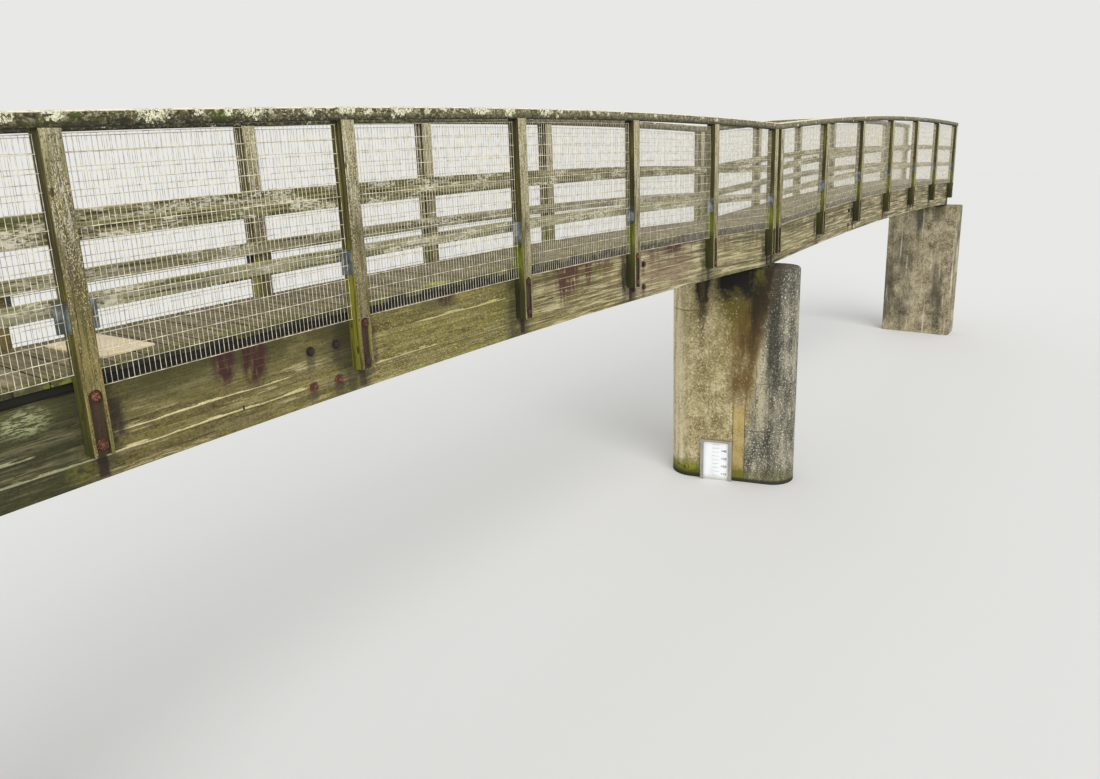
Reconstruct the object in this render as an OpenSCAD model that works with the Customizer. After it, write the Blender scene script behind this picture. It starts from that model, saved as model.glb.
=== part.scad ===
// Two-span timber footbridge: cambered glulam beams on a round-ended pier and two bank seats.
// Millimetres, +X along the bridge, -Y the side with the water gauge, +Z up, Z = 0 at the water.

/* [Spans] */
// Distance between neighbouring parapet posts
bay = 1500; // [1200:50:1800]
// Number of bays in each span
bays = 6; // [4:1:6]
// Length of beam and handrail past the outer face of an end post
end_over = 35; // [15:5:70]
// Open joint between the ends of the two spans
joint_gap = 10; // [6:2:30]
// Radius of the upward camber, measured at the top of the handrail
camber_r = 100000; // [80000:5000:160000]

/* [Levels] */
// Height of the pier top above the water
pier_top = 2620; // [2000:20:3200]
// Thickness of the bearing pads under the beam ends
pad_t = 25; // [20:5:60]
// Deck surface to handrail top
rail_over_deck = 1085; // [950:5:1200]

/* [Beams] */
// Depth of the laminated beams
beam_h = 420; // [340:20:520]
// Width of the laminated beams
beam_w = 110; // [90:5:140]
// Outer face to outer face of the pair of beams
beam_span_y = 810; // [700:10:1200]

/* [Deck] */
// Thickness of the deck boards
board_t = 33; // [25:1:45]
// Width of one deck board
board_w = 139; // [120:1:160]
// Gap between deck boards
board_gap = 6; // [4:1:10]
// Height of the packing strips between beam and boards
strip_h = 47; // [40:1:100]
// Setback of the packing strips from the outer beam face
strip_back = 25; // [10:5:40]
// Length of the loose repair sheet across the bridge
patch_l = 510; // [300:10:600]
// Width of the loose repair sheet
patch_w = 255; // [150:5:400]
// Thickness of the repair sheet
patch_t = 12; // [6:1:25]
// Distance of the repair sheet from the last post but one, towards the pier
patch_off = 270; // [150:5:600]
// Angle of the repair sheet to the boards
patch_turn = 4; // [0:1:10]

/* [Parapet] */
// Width of a post along the bridge
post_w = 90; // [80:5:120]
// Depth of a post across the bridge
post_d = 90; // [80:5:120]
// Height of beam face left bare under the posts
post_short = 134; // [80:2:180]
// Width of the routed slot over the post bolts
slot_w = 56; // [40:2:64]
// Depth of the routed slot
slot_d = 14; // [8:1:25]
// Length of the routed slot above the foot of the post
slot_l = 299; // [240:1:330]
// Height of the handrail section
handrail_h = 70; // [60:5:90]
// Height of each of the two middle rails
midrail_h = 75; // [60:5:100]
// Thickness of the middle rails
midrail_t = 28; // [20:2:40]
// Handrail top down to the top of the upper middle rail
upper_drop = 455; // [380:5:500]
// Handrail top down to the top of the lower middle rail
lower_drop = 755; // [700:5:800]

/* [Mesh] */
// Thickness of the mesh wires
wire = 5; // [4:0.5:6]
// Least height of one mesh row
row_min = 75; // [70:1:80]
// Clear height between the top wire and the handrail
mesh_top = 18; // [10:1:30]
// Clear height between the lowest wire and the beam
mesh_foot = 10; // [5:1:30]
// Clear space between the end wires and the posts
mesh_side = 5; // [5:1:12]
// Wire lines across one panel
lines = 7; // [5:1:8]

/* [Brackets] */
// Height of an angle bracket
bracket_h = 140; // [100:5:180]
// Leg length of an angle bracket
bracket_leg = 42; // [35:1:43]
// Sheet thickness of an angle bracket
bracket_t = 4; // [3:0.5:6]
// Handrail top down to the top of the brackets
bracket_drop = 760; // [700:5:800]

/* [Cross members] */
// Distance of each cross member from the point half way between the two
cross_x = 1695; // [1200:5:2000]
// Distance of that point from the middle of the span, towards the bank
cross_shift = 42; // [0:2:60]
// Thickness of a cross member
cross_t = 75; // [60:5:100]
// Depth of a cross member
cross_h = 280; // [220:10:340]
// Leg of the steel cleats
cleat_leg = 75; // [60:5:90]
// Thickness of the steel cleats
cleat_t = 8; // [6:1:10]

/* [Supports] */
// Thickness of the pier
pier_t = 570; // [400:10:700]
// Whole length of the pier
pier_l = 1490; // [1200:10:1800]
// Angle of the pier to the bridge, following the stream
pier_skew = 15; // [0:1:20]
// Thickness of a bank seat
seat_t = 500; // [400:20:700]
// Width of a bank seat
seat_l = 1300; // [1000:50:1800]

/* [Water gauge] */
// Width of the gauge board
gauge_w = 385; // [250:5:450]
// Height of the gauge board above the water
gauge_h = 515; // [400:5:600]
// Offset of the board from the middle of the pier face
gauge_off = 145; // [0:5:240]

/* [Hidden] */
// the posts either side of the joint, the run of a span's posts and its beam ends
joint_pitch = joint_gap + 2 * end_over + post_w;
post_run = bay * bays;
span_mid = joint_pitch / 2 + post_run / 2;
beam_end = joint_gap / 2;
beam_far = joint_pitch + post_run - joint_gap / 2;
// drops below the handrail top line
drop_deck = rail_over_deck;
drop_strip = drop_deck + board_t;
drop_beam = drop_strip + strip_h;
drop_sole = drop_beam + beam_h;
drop_post = drop_sole - post_short;
// camber rise from the beam end to the middle of the span
half = (beam_far - beam_end) / 2;
sole_r = camber_r - drop_sole;
rise = sole_r - sqrt(sole_r * sole_r - half * half);
// handrail top at the middle of a span; the beam soles meet the pads at the ends
top_mid = pier_top + pad_t + drop_sole + rise;
arc_z = top_mid - camber_r;
post_y = beam_span_y / 2 + post_d / 2;
mesh_y = post_y;
// mesh rows that fit between beam and handrail, and their true height
mesh_h = drop_beam - mesh_foot - handrail_h - mesh_top - wire;
rows = floor(mesh_h / row_min);
row_h = mesh_h / rows;
arc_fn = 2880;
pad_l = 160;
slot_r = slot_w / 2;
seat_x = beam_far - pad_l - 60;
gauge_post = 42;
gauge_t = 40;

// height above the water of the curve at a drop below the handrail top line, in the right span
function curve_z(x, drop) = arc_z + sqrt(pow(camber_r - drop, 2) - pow(x - span_mid, 2));
function top_z(x) = curve_z(x, 0);
function slope(x) = asin((x - span_mid) / camber_r);
function post_x(i) = joint_pitch / 2 + i * bay;
// place of a cross member along the span, and its lower edge, half way down the beam
function cross_at(s) = span_mid + cross_shift + s * cross_x;
function cross_foot(s) = top_z(cross_at(s)) - drop_beam - (beam_h + cross_h) / 2;

// the right span is drawn; the left span is its mirror image across the pier
module on_span(side) {
    if (side > 0) children();
    else mirror([1, 0, 0]) children();
}

// curved member between two drops below the handrail top line, bent about the camber centre
module camber_band(drop_a, drop_b, y_mid, thick, x_a, x_b) {
    reach = asin(((x_b - x_a) / 2 + 4) / (camber_r - drop_b));
    intersection() {
        translate([span_mid, y_mid, arc_z])
            rotate([90, 0, 0])
                rotate([0, 0, 90 - reach])
                    rotate_extrude(angle = 2 * reach, $fn = arc_fn)
                        translate([camber_r - drop_b, -thick / 2])
                            square([drop_b - drop_a, thick]);
        translate([x_a, y_mid - thick, 0])
            cube([x_b - x_a, 2 * thick, top_mid + handrail_h]);
    }
}

// stands a profile in X and Z up and gives it a thickness across the bridge
module across(y_mid, thick) {
    translate([0, y_mid + thick / 2, 0])
        rotate([90, 0, 0])
            linear_extrude(height = thick)
                children();
}

// laminated beam
module beam(side, face) {
    on_span(side)
        camber_band(drop_beam, drop_sole, face * (beam_span_y / 2 - beam_w / 2), beam_w,
            beam_end, beam_far);
}

// packing strips that carry the boards on top of both beams
module deck_strips(side) {
    on_span(side)
        for (face = [-1, 1])
            camber_band(drop_strip, drop_beam, face * (beam_span_y / 2 - beam_w / 2),
                beam_w - 2 * strip_back, beam_end, beam_far);
}

// deck boards, each one square to the camber
module deck_boards(side) {
    run = beam_far - beam_end + board_gap;
    count = round(run / (board_w + board_gap));
    pitch = run / count;
    cut_w = pitch - board_gap;
    on_span(side)
        for (i = [0 : count - 1])
            let (x = beam_end + cut_w / 2 + i * pitch)
                translate([x, 0, curve_z(x, drop_strip)])
                    rotate([0, slope(x), 0])
                        translate([-cut_w / 2, -beam_span_y / 2, 0])
                            cube([cut_w, beam_span_y, board_t]);
}

// thin sheet laid over the boards of the left span, slightly askew
module deck_patch() {
    x = post_x(bays - 1) - patch_off;
    on_span(-1)
        translate([x, 0, curve_z(x, drop_deck)])
            rotate([0, slope(x), 0])
                rotate([0, 0, -patch_turn])
                    translate([-patch_w / 2, -patch_l / 2, 0])
                        cube([patch_w, patch_l, patch_t]);
}

// one parapet post with the routed slot over its two bolts
module post(i, face) {
    x = post_x(i);
    foot = curve_z(x, drop_post);
    x_a = x - post_w / 2;
    x_b = x + post_w / 2;
    out_y = face * (post_y + post_d / 2);
    difference() {
        across(face * post_y, post_d)
            polygon([
                [x_a, foot], [x_b, foot],
                [x_b, curve_z(x_b, handrail_h)], [x_a, curve_z(x_a, handrail_h)]
            ]);
        across(out_y, 2 * slot_d)
            union() {
                translate([x - slot_r, foot - 1]) square([slot_w, slot_l - slot_r + 1]);
                translate([x, foot + slot_l - slot_r]) circle(r = slot_r, $fn = 48);
            }
    }
}

module posts(side, face) {
    on_span(side)
        for (i = [0 : bays]) post(i, face);
}

module handrail(side, face) {
    on_span(side)
        camber_band(0, handrail_h, face * post_y, post_d, beam_end, beam_far);
}

module midrails(side, face) {
    on_span(side)
        for (drop = [upper_drop, lower_drop])
            camber_band(drop, drop + midrail_h, face * (post_y - post_d / 2 - midrail_t / 2),
                midrail_t, post_x(0) - post_w / 2, post_x(bays) + post_w / 2);
}

// one panel of welded mesh between two posts; the wires follow the slope of the bay
module mesh_panel(i, face, row_count) {
    x_a = post_x(i) + post_w / 2 + mesh_side;
    x_b = post_x(i + 1) - post_w / 2 - mesh_side;
    z_a = top_z(x_a);
    z_b = top_z(x_b);
    step = (x_b - x_a - wire) / (lines - 1);
    low = drop_beam - mesh_foot - (rows - row_count) * row_h;
    across(face * mesh_y, wire)
        union() {
            for (r = [0 : 2 : row_count])
                polygon([
                    [x_a, z_a - low + r * row_h], [x_b, z_b - low + r * row_h],
                    [x_b, z_b - low + r * row_h + wire], [x_a, z_a - low + r * row_h + wire]
                ]);
            if (row_count % 2 == 1)
                polygon([
                    [x_a, z_a - low + row_count * row_h], [x_b, z_b - low + row_count * row_h],
                    [x_b, z_b - low + row_count * row_h + wire],
                    [x_a, z_a - low + row_count * row_h + wire]
                ]);
            for (k = [0 : lines - 1])
                let (x = x_a + k * step, z = z_a + (z_b - z_a) * (x - x_a) / (x_b - x_a) - low)
                    translate([x, z]) square([wire, row_count * row_h + wire]);
        }
}

module mesh(side, face, end_rows) {
    on_span(side)
        for (i = [0 : bays - 1])
            mesh_panel(i, face, i == bays - 1 ? end_rows : rows);
}

// angle bracket on the flank of a post, its second leg behind the mesh
module bracket(x, dir, face) {
    z = top_z(x) - bracket_drop - bracket_h;
    x_a = dir > 0 ? x + post_w / 2 : x - post_w / 2 - bracket_leg;
    x_b = dir > 0 ? x + post_w / 2 : x - post_w / 2 - bracket_t;
    leg_y = mesh_y - wire / 2 - bracket_t;
    y_a = face > 0 ? leg_y : -leg_y - bracket_t;
    y_b = face > 0 ? leg_y : -leg_y - bracket_leg;
    translate([x_a, y_a, z]) cube([bracket_leg, bracket_t, bracket_h]);
    translate([x_b, y_b, z]) cube([bracket_t, bracket_leg, bracket_h]);
}

module brackets(side, face) {
    on_span(side)
        for (i = [0 : bays - 1]) {
            bracket(post_x(i), 1, face);
            bracket(post_x(i + 1), -1, face);
        }
}

// timber cross members between the beams
module cross_members(side) {
    inner = beam_span_y - 2 * beam_w;
    on_span(side)
        for (s = [-1, 1])
            translate([cross_at(s) - cross_t / 2, -inner / 2, cross_foot(s)])
                cube([cross_t, inner, cross_h]);
}

// steel angle cleats in the corners between cross member and beam
module cleats(side) {
    inner = beam_span_y / 2 - beam_w;
    on_span(side)
        for (s = [-1, 1], a = [-1, 1], face = [-1, 1])
            translate([cross_at(s) + a * cross_t / 2, face * inner, cross_foot(s) + 10]) {
                translate([a > 0 ? 0 : -cleat_leg, face > 0 ? -cleat_t : 0, 0])
                    cube([cleat_leg, cleat_t, cross_h - 20]);
                translate([a > 0 ? 0 : -cleat_t, face > 0 ? -cleat_leg : 0, 0])
                    cube([cleat_t, cleat_leg, cross_h - 20]);
            }
}

// pads that level the beam ends on their seats
module beam_pads(x_a, x_b) {
    for (face = [-1, 1])
        across(face * (beam_span_y / 2 - beam_w / 2), beam_w)
            polygon([
                [x_a, pier_top], [x_b, pier_top],
                [x_b, curve_z(x_b, drop_sole)], [x_a, curve_z(x_a, drop_sole)]
            ]);
}

module pier_bearings() {
    for (side = [-1, 1])
        on_span(side) beam_pads(beam_end + 15, beam_end + 15 + pad_l);
}

module end_bearings(side) {
    on_span(side) beam_pads(beam_far - 15 - pad_l, beam_far - 15);
}

// pier with half-round ends, turned to the stream
module pier() {
    rotate([0, 0, pier_skew])
        linear_extrude(height = pier_top)
            union() {
                square([pier_t, pier_l - pier_t], center = true);
                for (s = [-1, 1])
                    translate([0, s * (pier_l - pier_t) / 2]) circle(d = pier_t, $fn = 96);
            }
}

module abutment(side) {
    on_span(side)
        translate([seat_x, -seat_l / 2, 0]) cube([seat_t, seat_l, pier_top]);
}

// gauge board between two upright channels on the pier face
module gauge_board() {
    rotate([0, 0, pier_skew])
        translate([-pier_t / 2, gauge_off, 0]) {
            translate([-gauge_t / 2, -gauge_w / 2 + gauge_post / 2, 0])
                cube([gauge_t / 2, gauge_w - gauge_post, gauge_h - 8]);
            for (s = [-1, 1])
                translate([-gauge_t, s * (gauge_w - gauge_post) / 2 - gauge_post / 2, 0])
                    cube([gauge_t, gauge_post, gauge_h]);
        }
}

color("#9a927c") pier();
color("#8d8877") abutment(-1);  // left_abutment
color("#8d8877") abutment(1);  // right_abutment
color("#3a3a38") pier_bearings();
color("#3a3a38") end_bearings(-1);  // left_end_bearings
color("#3a3a38") end_bearings(1);  // right_end_bearings
color("#8a8058") beam(-1, -1);  // left_front_beam
color("#8a8058") beam(-1, 1);  // left_back_beam
color("#8a8058") beam(1, -1);  // right_front_beam
color("#8a8058") beam(1, 1);  // right_back_beam
color("#2c2c26") deck_strips(-1);  // left_deck_strips
color("#2c2c26") deck_strips(1);  // right_deck_strips
color("#7d735c") deck_boards(-1);  // left_deck_boards
color("#7d735c") deck_boards(1);  // right_deck_boards
color("#c9b184") deck_patch();
color("#6d6448") cross_members(-1);  // left_cross_members
color("#6d6448") cross_members(1);  // right_cross_members
color("#8c9194") cleats(-1);  // left_cleats
color("#8c9194") cleats(1);  // right_cleats
color("#8f8a6a") posts(-1, -1);  // left_front_posts
color("#8f8a6a") posts(-1, 1);  // left_back_posts
color("#8f8a6a") posts(1, -1);  // right_front_posts
color("#8f8a6a") posts(1, 1);  // right_back_posts
color("#6f6a52") handrail(-1, -1);  // left_front_handrail
color("#6f6a52") handrail(-1, 1);  // left_back_handrail
color("#6f6a52") handrail(1, -1);  // right_front_handrail
color("#6f6a52") handrail(1, 1);  // right_back_handrail
color("#7a7658") midrails(-1, -1);  // left_front_midrails
color("#7a7658") midrails(-1, 1);  // left_back_midrails
color("#7a7658") midrails(1, -1);  // right_front_midrails
color("#7a7658") midrails(1, 1);  // right_back_midrails
color("#b9bcbc") mesh(-1, -1, rows - 1);  // left_front_mesh
color("#b9bcbc") mesh(-1, 1, rows);  // left_back_mesh
color("#b9bcbc") mesh(1, -1, rows);  // right_front_mesh
color("#b9bcbc") mesh(1, 1, rows);  // right_back_mesh
color("#8f98a0") brackets(-1, -1);  // left_front_brackets
color("#8f98a0") brackets(-1, 1);  // left_back_brackets
color("#8f98a0") brackets(1, -1);  // right_front_brackets
color("#8f98a0") brackets(1, 1);  // right_back_brackets
color("#d5d8d6") gauge_board();
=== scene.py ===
import bpy
import random
from math import asin, atan2, cos, hypot, pi, radians, sin, sqrt
from mathutils import Matrix, Vector


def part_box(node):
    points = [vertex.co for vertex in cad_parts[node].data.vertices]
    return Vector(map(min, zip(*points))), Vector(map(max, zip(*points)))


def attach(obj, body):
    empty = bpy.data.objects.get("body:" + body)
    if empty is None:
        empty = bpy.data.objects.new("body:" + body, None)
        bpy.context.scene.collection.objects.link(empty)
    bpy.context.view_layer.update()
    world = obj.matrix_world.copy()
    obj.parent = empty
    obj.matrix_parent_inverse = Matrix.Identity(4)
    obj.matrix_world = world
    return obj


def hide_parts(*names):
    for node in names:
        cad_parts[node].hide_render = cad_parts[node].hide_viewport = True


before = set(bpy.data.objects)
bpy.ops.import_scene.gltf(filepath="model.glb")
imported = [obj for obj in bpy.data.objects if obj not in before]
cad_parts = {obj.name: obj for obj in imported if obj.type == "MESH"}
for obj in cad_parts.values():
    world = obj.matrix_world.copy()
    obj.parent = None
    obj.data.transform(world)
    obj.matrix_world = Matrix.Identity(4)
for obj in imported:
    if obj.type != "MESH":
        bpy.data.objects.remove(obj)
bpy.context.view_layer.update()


# --------
# Pier: cast concrete with half-round ends, set 15 degrees askew. Poured between
# steel-faced shutters in four lifts; the top arris is chamfered. Rain washes the
# right side pale, and the far round end is painted paler still as light falling on
# it; drips from the beams stain the face brown and feed algae, and the band under
# the beams is darkened further as painted shade.
def tint(code):
    """An sRGB hex colour as linear RGBA."""
    part = [int(code[i:i + 2], 16) / 255 for i in (1, 3, 5)]
    return [c / 12.92 if c <= 0.04045 else ((c + 0.055) / 1.055) ** 2.4 for c in part] + [1]


def fill(socket, value):
    """Fills a socket with a number, a hex colour, a node's output, or an output together with
    the range that it is mapped from and to (0 to 1 unless given)."""
    if isinstance(value, tuple) and isinstance(value[0], bpy.types.NodeSocket):
        value = put("MapRange", *value)
    if isinstance(value, bpy.types.NodeSocket):
        tree.links.new(value, socket)
    else:
        socket.default_value = tint(value) if isinstance(value, str) else value


def put(kind, *ins, stops=(), out=0, **words):
    """Adds one node to the tree being made and gives back one of its outputs. Values fill its
    inputs in order; words with a capital name an input, the others a setting. A kind all in
    capitals is an operation of the Math node. A pattern may have a scale for each axis."""
    if kind.isupper():
        kind, words["operation"] = "Math", kind
    if kind.startswith("Tex") and isinstance(words.get("Scale"), tuple):
        ins = [put("Mapping", *ins, Scale=words["Scale"])]
        words["Scale"] = 1
    made = tree.nodes.new("ShaderNode" + kind)
    for key, value in words.items():
        if key[0].islower():
            setattr(made, key, value)
    if stops:
        ramp = made.color_ramp.elements
        ramp[0].position, ramp[1].position = stops[0][0], stops[-1][0]
        for place, _ in stops[1:-1]:
            ramp.new(place)
        for spot, (_, shade) in zip(ramp, stops):
            spot.color = tint(shade)
    ways = [way for way in made.inputs if way.enabled]
    for way, value in zip(ways, ins):
        fill(way, value)
    for key, value in words.items():
        if key[0].isupper():
            fill(next(way for way in ways if way.name == key.replace("_", " ")), value)
    return [way for way in made.outputs if way.enabled][out]


def material(name, **fixed):
    """Starts a material, with its constant shader values on the shader's own sockets. Gives it
    back, and the place on the bridge. The nodes put from here on are its own, until the next."""
    global tree
    made = bpy.data.materials.new(name)
    made.use_nodes = True
    tree = made.node_tree
    for key, value in fixed.items():
        fill(tree.nodes["Principled BSDF"].inputs[key.replace("_", " ")], value)
    return made, put("TexCoord", out=3)


def wire(colour, noise, smoothest, roughest, depth, height=None):
    """Joins a colour, a roughness that follows a noise, and a bump of a depth in metres, from a
    height of 0 to 1 or from the same noise, to the shader."""
    shader = tree.nodes["Principled BSDF"].inputs
    fill(shader["Base Color"], colour)
    fill(shader["Roughness"], (noise, 0.3, 0.7, smoothest, roughest))
    fill(shader["Normal"], put("Bump", Height=height or noise, Distance=depth, Strength=1))


def band(value, low, high, soft):
    """Mask: 1 from low to high, falling to 0 over a soft edge beyond them."""
    away = put("ABSOLUTE", put("SUBTRACT", value, (low + high) / 2))
    return put("MapRange", away, (high - low) / 2 + soft, (high - low) / 2)


def blot(at, centre, size, ragged, soft=0.4):
    """Mask of one ragged blot: 1 inside, fading to 0 at its size."""
    away = put("Mapping", at, vector_type="TEXTURE", Location=centre, Scale=size)
    away = put("ADD", put("VectorMath", away, operation="LENGTH"), ragged)
    return put("MapRange", away, 1, 1 - soft)


def patches(at, per_metre, low, high, detail=4, rough=0.6):
    """Mask of patches that repeat about so many times a metre along X, Y and Z."""
    return put("MapRange", put("TexNoise", at, Scale=per_metre, Detail=detail, Roughness=rough), low, high)


def paint(under, *coats):
    """Lays colours over one another, each of them where all of its masks meet."""
    for over, where, *masks in coats:
        for mask in masks:
            where = put("MULTIPLY", where, mask)
        under = put("Mix", where, under, over, data_type="RGBA")
    return under


def cast(name, pale, mid, dark):
    """Weathered cast concrete: the cement skin is worn off the sand and stones, with air
    holes, so it looks mottled and freckled and quite matt. Gives back the material, the place,
    the colour, the noise for the roughness and the bump."""
    made, at = material(name)
    cloud = put("TexNoise", at, Scale=3.6, Detail=9, Roughness=0.74)
    tone = put("ValToRGB", cloud, stops=[(0.38, dark), (0.49, mid), (0.6, pale)])
    # stones and sand of 4 to 20 mm in the worn skin
    stone = put("TexNoise", at, Scale=42, Detail=5, Roughness=0.78)
    tone = paint(tone,
        (dark, (stone, 0.46, 0.38, 0, 0.85)),
        (pale, (stone, 0.535, 0.6, 0, 0.9)))
    # air holes, 4 to 9 mm across
    holes = put("TexVoronoi", at, Scale=24)
    holes = put("MapRange", holes, 0.06, 0.12)
    tone = paint(dark, (tone, holes))
    high = put("ADD", stone, put("MULTIPLY", holes, 0.4))
    return made, at, tone, stone, high


def alone(piece):
    """Makes one object the only selected and active one."""
    bpy.ops.object.select_all(action="DESELECT")
    piece.select_set(True)
    bpy.context.view_layer.objects.active = piece


def edit(piece, kind="VERT", test=None):
    """Enters edit mode with the vertices, edges or faces selected that pass the test. It is
    given a vertex's place, both ends of an edge, or a face's centre and normal."""
    alone(piece)
    bpy.ops.object.mode_set(mode="EDIT")
    bpy.ops.mesh.select_mode(type=kind)
    bpy.ops.mesh.select_all(action="DESELECT" if test else "SELECT")
    bpy.ops.object.mode_set(mode="OBJECT")
    if test:
        mesh = piece.data
        spots = mesh.vertices
        for part in {"VERT": spots, "EDGE": mesh.edges, "FACE": mesh.polygons}[kind]:
            if kind == "VERT":
                part.select = test(part.co)
            elif kind == "EDGE":
                part.select = test(*[spots[end].co for end in part.vertices])
            else:
                part.select = test(part.center, part.normal)
    bpy.ops.object.mode_set(mode="EDIT")


def done():
    bpy.ops.object.mode_set(mode="OBJECT")


def named(piece, name):
    piece.name = piece.data.name = name
    return piece


def primitive(kind, name, stretch=None, **words):
    """A primitive added with nothing else selected, its place and size in its mesh."""
    bpy.ops.object.select_all(action="DESELECT")
    getattr(bpy.ops.mesh, f"primitive_{kind}_add")(**words)
    piece = named(bpy.context.object, name)
    if stretch:
        piece.scale = stretch
    bpy.ops.object.transform_apply()
    return piece


def dress(piece, finish, slot, *nodes):
    """Gives a finished piece its material and body, and hides the nodes it stands for. Its slot is not
    used.
    """
    piece.data.materials.clear()
    piece.data.materials.append(finish)
    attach(piece, "root")
    if nodes:
        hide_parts(*nodes)


def smooth(piece, degrees=35):
    alone(piece)
    bpy.ops.object.shade_smooth_by_angle(angle=radians(degrees))


SKEW = radians(15)
skewed = Matrix.Rotation(SKEW, 4, "Z")
PIER_T, PIER_L, PIER_TOP = 0.57, 1.49, 2.62
PIER_R = PIER_T / 2 - 0.0001

pier = primitive("circle", "cast_pier", vertices=96, radius=PIER_R, fill_type="NGON")
for end in (-1, 1):
    edit(pier, "VERT", lambda co: co.y * end > 0.0005 and abs(co.y) < PIER_R + 0.001)
    bpy.ops.transform.translate(value=(0, end * (PIER_L - PIER_T) / 2, 0))
    done()
edit(pier, "FACE")
# four lifts, each shutter joint a shallow open groove, and the chamfer
GROOVE = [(0.006, -0.004), (0.006, 0.004)]
for rise, swell in [(0.658, 0), *GROOVE, (0.58, 0), *GROOVE, (0.842, 0), *GROOVE, (0.484, 0),
        (0.02, -0.018)]:
    bpy.ops.mesh.extrude_region_move(TRANSFORM_OT_translate={"value": (0, 0, rise)})
    if swell:
        bpy.ops.transform.resize(value=(1 + swell / PIER_R, 1 + swell / (PIER_L / 2), 1),
            center_override=(0, 0, 0))
bpy.ops.mesh.select_all(action="SELECT")
bpy.ops.mesh.normals_make_consistent(inside=False)
done()
pier.data.transform(skewed)
smooth(pier, 25)

pier_concrete, at, tone, stone, high = cast("pier_cast_concrete", "#c8bb93", "#9a8d65", "#74663b")
here = put("Mapping", at, Rotation=(0, 0, -SKEW))
across_at, along, tall_at = [put("SeparateXYZ", here, out=i) for i in range(3)]
wander = put("TexNoise", here, Scale=7, Detail=7, Roughness=0.72)
ragged = put("MapRange", wander, 0.3, 0.7, -0.5, 0.5)
small = put("MapRange", wander, 0.3, 0.7, -0.05, 0.05)
fine = put("TexNoise", here, Scale=38, Detail=5, Roughness=0.78)
worn = put("MapRange", fine, 0.6, 0.48)
streaks = patches(here, (22, 22, 0.8), 0.46, 0.6)
# pale run-off and thin dark runs on the right part of the face; the pale there is partly painted light on
# the far round end
right_part = put("MapRange", along, 0.4, 0.55)
tone = paint(tone,
    ("#d3c9a6", right_part, streaks, 0.6),
    ("#5d5230", patches(here, (30, 30, 0.7), 0.57, 0.62), worn, 0.45),
    ("#8d8256", (tall_at, 0.5, 2.4, 0, 0.6), worn),
    # painted light: the far round end is paler where it turns towards the light, broken by patches
    ("#ded3ac", (along, 0.5, 0.64, 0, 0.75), (across_at, 0.02, 0.16, 1, 0.3),
        patches(here, (14, 14, 1.6), 0.34, 0.52, 6)),
    ("#4c4320", (fine, 0.43, 0.38, 0, 0.75)),
    ("#dcd2ae", (fine, 0.585, 0.63, 0, 0.75)))
# grey and black weathering of the near end; its border leans
border = put("MULTIPLY", tall_at, 0.12)
border = put("ADD", put("ADD", along, border), small)
near_end = put("MapRange", border, -0.125, -0.175)
grit = put("TexNoise", here, Scale=52, Detail=5, Roughness=0.8)
grey = put("TexNoise", here, Scale=(9, 9, 2.2), Detail=7, Roughness=0.72)
grey = put("ADD", grey, put("MULTIPLY", grit, 0.6))
grey = put("ValToRGB", grey, stops=[(0.66, "#2f2e28"), (0.77, "#5a584d"), (0.86, "#827e6e"),
        (0.95, "#a6a08c")])
grey = paint(grey, ("#e0dccb", (grit, 0.57, 0.62, 0, 0.95)))
tone = paint(tone,
    (grey, near_end, 0.92),
    ("#b3a98c", blot(here, (-0.285, -0.37, 0.95), (0.6, 0.15, 0.4), ragged, 0.8), worn, 0.8),
    ("#c4b998", blot(here, (-0.285, -0.355, 1.45), (0.6, 0.1, 0.5), ragged, 0.7), worn, 0.85))
crooked = put("ADD", along, put("MULTIPLY", ragged, 0.03))
tone = paint(tone,
    ("#2b2a1f", band(crooked, -0.545, -0.455, 0.05), (tall_at, 0.9, 1.7, 0.1, 1),
        (grit, 0.66, 0.58, 0.2, 0.9)),
    ("#36352a", blot(here, (-0.285, -0.4, 0.5), (0.6, 0.18, 0.24), ragged, 0.9),
        (grit, 0.58, 0.5, 0.1, 0.8)),
    ("#3a382d", near_end, (tall_at, 2, 2.5, 0, 0.62), (grit, 0.62, 0.54, 0.1, 1)))
# brown run-off from the joint over the pier, narrowing downwards, edged with yellow algae
lean = put("MULTIPLY", tall_at, 0.163)
lean = put("ADD", put("ADD", along, lean), -0.06)
reach = put("ADD", put("MULTIPLY", tall_at, 0.02), 0.095)
run = put("DIVIDE", put("ABSOLUTE", lean), reach)
run = put("ADD", run, ragged)
low_end = put("MapRange", put("ADD", tall_at, small), 0.9, 1.2)
off_grey = put("MapRange", border, -0.17, -0.12, 0.25, 1)
flecked = put("MapRange", fine, 0.64, 0.55, 0.3, 1)
tone = paint(tone,
    ("#6a5914", band(lean, 0.06, 0.26, 0.1), (tall_at, 1.2, 2, 0, 0.95), flecked,
        patches(here, (9, 9, 4), 0.36, 0.52, 6)),
    ("#46350f", band(lean, 0.06, 0.15, 0.06), (tall_at, 1.5, 2, 0, 0.8), flecked),
    ("#5f4718", (run, 1.75, 0.7, 0, 0.92), low_end, off_grey, patches(here, (8, 8, 3), 0.24, 0.46, 6),
        (fine, 0.66, 0.58, 0.5, 1)),
    ("#2d1e08", (run, 1.05, 0.4), (tall_at, 1.35, 2.1, 0, 0.95), off_grey,
        patches(here, (16, 16, 1.8), 0.36, 0.54, 6)),
    ("#261a06", band(border, -0.145, -0.01, 0.035), (tall_at, 1.55, 2.15, 0, 0.9)))
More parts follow.
